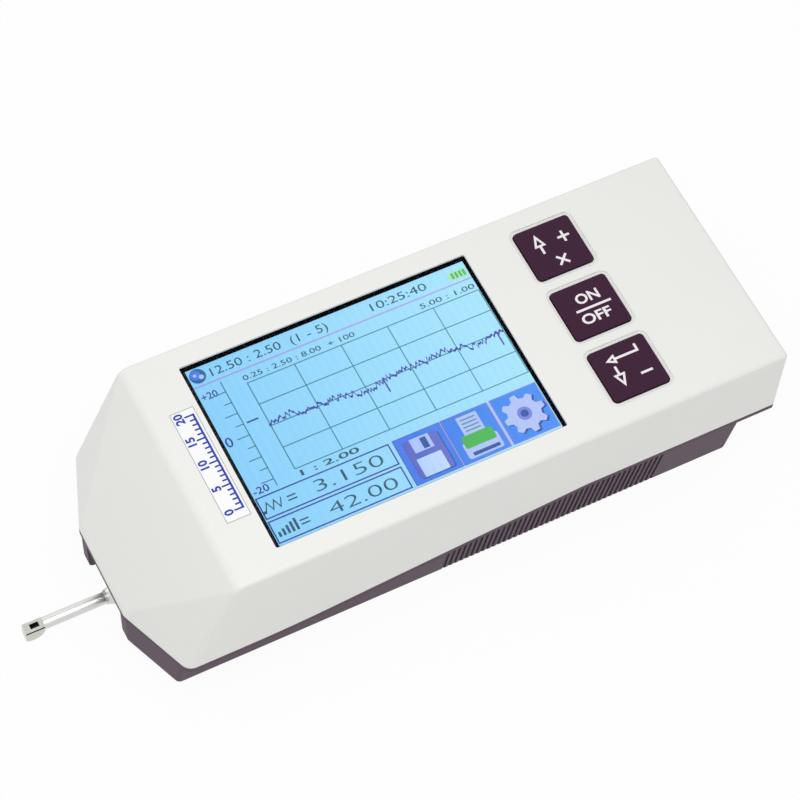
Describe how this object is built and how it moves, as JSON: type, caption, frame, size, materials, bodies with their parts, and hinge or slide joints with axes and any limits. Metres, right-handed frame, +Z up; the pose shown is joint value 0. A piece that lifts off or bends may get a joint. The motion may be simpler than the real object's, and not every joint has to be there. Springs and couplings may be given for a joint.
{
  "type": "surface roughness tester",
  "caption": "Handheld surface roughness tester with a white cover on a plum base, a colour display, push keys and a motor-drawn stylus pickup in the nose.",
  "frame": {"origin": "middle of the flat belly that the tester stands on", "axes": "+X along the case from the nose to the rear, +Z up from the belly to the display"},
  "size_m": [0.1811, 0.0622, 0.0483],
  "materials": {
    "white_abs": "fine satin moulded",
    "plum_abs": "fine satin moulded",
    "key_plastic": "satin moulded",
    "window_glass": "clear",
    "foam": "closed cell foam",
    "display_panel": "lit display",
    "nylon": "moulded",
    "switch_plastic": "moulded",
    "board_laminate": "solder mask",
    "zinc_steel": "zinc plated",
    "battery_wrap": "shrink wrap",
    "milled_aluminium": "milled",
    "ground_steel": "ground",
    "bearing_bronze": "sintered",
    "motor_can": "drawn",
    "polished_steel": "polished",
    "coil_copper": "wound",
    "diamond": "ground"
  },
  "bodies": {
    "case": {"top_cover": "white_abs", "bottom_cover": "plum_abs", "display_window": "window_glass", "display_gasket": "foam", "display_module": "display_panel", "key_switches": "switch_plastic", "keypad_board": "board_laminate", "main_board": "board_laminate", "board_chips": "switch_plastic", "board_screws": "zinc_steel", "usb_socket": "zinc_steel", "battery": "battery_wrap", "drive_frame": "milled_aluminium", "drive_screws": "zinc_steel", "guide_rods": "ground_steel", "screw_bearings": "bearing_bronze", "gear_motor": "motor_can", "motor_cradle": "switch_plastic", "case_screws": "zinc_steel"},
    "up_key": {"key_up": "key_plastic", "plunger_up": "nylon"},
    "power_key": {"key_power": "key_plastic", "plunger_power": "nylon"},
    "enter_key": {"key_enter": "key_plastic", "plunger_enter": "nylon"},
    "traverse": {"carriage": "milled_aluminium", "rod_bushes": "bearing_bronze", "drive_nut": "bearing_bronze", "pickup_socket": "switch_plastic", "pickup_body": "polished_steel", "pickup_tube": "polished_steel", "skid_head": "polished_steel", "pivot_pin": "ground_steel", "sensor_coil": "coil_copper"},
    "screw": {"lead_screw": "ground_steel", "shaft_coupling": "ground_steel", "motor_shaft": "ground_steel"},
    "stylus": {"stylus_lever": "ground_steel", "stylus_tip": "diamond"}
  },
  "joints": [
    {"name": "up_key_press", "type": "slide", "parent": "case", "child": "up_key", "axis": [0, 0, -1], "range_m": [0, 0.0005], "stiffness_N_per_m": 2000},
    {"name": "power_key_press", "type": "slide", "parent": "case", "child": "power_key", "axis": [0, 0, -1], "range_m": [0, 0.0005], "stiffness_N_per_m": 2000},
    {"name": "enter_key_press", "type": "slide", "parent": "case", "child": "enter_key", "axis": [0, 0, -1], "range_m": [0, 0.0005], "stiffness_N_per_m": 2000},
    {"name": "traverse_slide", "type": "slide", "parent": "case", "child": "traverse", "axis": [1, 0, 0], "range_m": [0, 0.0175]},
    {"name": "lead_screw_turn", "type": "hinge", "parent": "case", "child": "screw", "pos_m": [0, 0, 0.013], "axis": [-1, 0, 0], "range_deg": [0, 6300]},
    {"name": "stylus_rock", "type": "hinge", "parent": "traverse", "child": "stylus", "pos_m": [-0.06665, 0, 0.004], "axis": [0, 1, 0], "range_deg": [-0.6, 0.6], "stiffness_Nm_per_rad": 0.02}
  ],
  "couplings": [
    {"joint": "lead_screw_turn", "follows": "traverse_slide", "rad_per_m": 6283.2}
  ]
}
